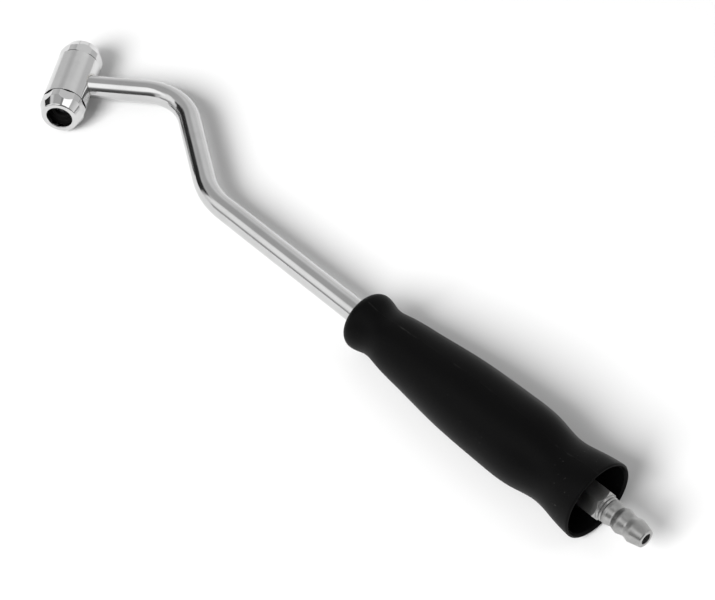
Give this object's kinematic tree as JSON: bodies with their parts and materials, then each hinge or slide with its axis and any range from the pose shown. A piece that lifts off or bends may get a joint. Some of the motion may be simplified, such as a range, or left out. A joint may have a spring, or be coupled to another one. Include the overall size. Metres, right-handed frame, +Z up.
{
  "type": "tire inflator",
  "caption": "Hand-held tire inflating wand: cranked chrome tube with a tee-shaped valve chuck at one end and a rubber grip with a barbed hose tail at the other.",
  "frame": {"origin": "middle of the underside of the whole wand as it lies on a table, on its grip and its head", "axes": "+X along the grip towards the hose tail, +Z up off the table, +Y towards the outer bend of the crank"},
  "size_m": [0.2872, 0.041, 0.0273],
  "materials": {
    "chrome_head": "bright chrome plate, lightly softened",
    "chrome_cap": "bright chrome plate on turned faces and spanner flats",
    "chrome_tube": "mirror chrome plate",
    "silver_braze": "smooth silver braze",
    "black_rubber": "fine matt moulded rubber",
    "core_plastic": "moulded nylon",
    "plated_steel": "zinc plate",
    "spring_steel": "drawn spring steel",
    "satin_nickel": "satin nickel plate",
    "fibre_gasket": "pressed fibre",
    "seal_rubber": "smooth moulded rubber"
  },
  "bodies": {
    "wand": {"head_body": "chrome_head", "braze_ring": "silver_braze", "bent_tube": "chrome_tube", "grip_sleeve": "black_rubber", "grip_core": "core_plastic", "core_stop_ring": "plated_steel", "core_washer": "plated_steel", "core_clip": "spring_steel", "hose_tail": "satin_nickel", "tail_gasket": "fibre_gasket", "rear_nose_cap": "chrome_cap", "rear_valve_seal": "seal_rubber", "rear_seat_bush": "core_plastic", "rear_cap_o_ring": "seal_rubber", "rear_return_spring": "spring_steel", "front_nose_cap": "chrome_cap", "front_valve_seal": "seal_rubber", "front_seat_bush": "core_plastic", "front_cap_o_ring": "seal_rubber", "front_return_spring": "spring_steel"},
    "rear_plunger": {"rear_depressor": "core_plastic", "rear_poppet_o_ring": "seal_rubber"},
    "front_plunger": {"front_depressor": "core_plastic", "front_poppet_o_ring": "seal_rubber"}
  },
  "joints": [
    {"name": "rear_depressor_slide", "type": "slide", "parent": "wand", "child": "rear_plunger", "axis": [-0.6018, 0.7986, 0], "range_m": [0, 0.002], "stiffness_N_per_m": 600, "springref_m": -0.0015, "deforming": ["rear_return_spring"]},
    {"name": "front_depressor_slide", "type": "slide", "parent": "wand", "child": "front_plunger", "axis": [0.6018, -0.7986, 0], "range_m": [0, 0.002], "stiffness_N_per_m": 600, "springref_m": -0.0015, "deforming": ["front_return_spring"]}
  ]
}
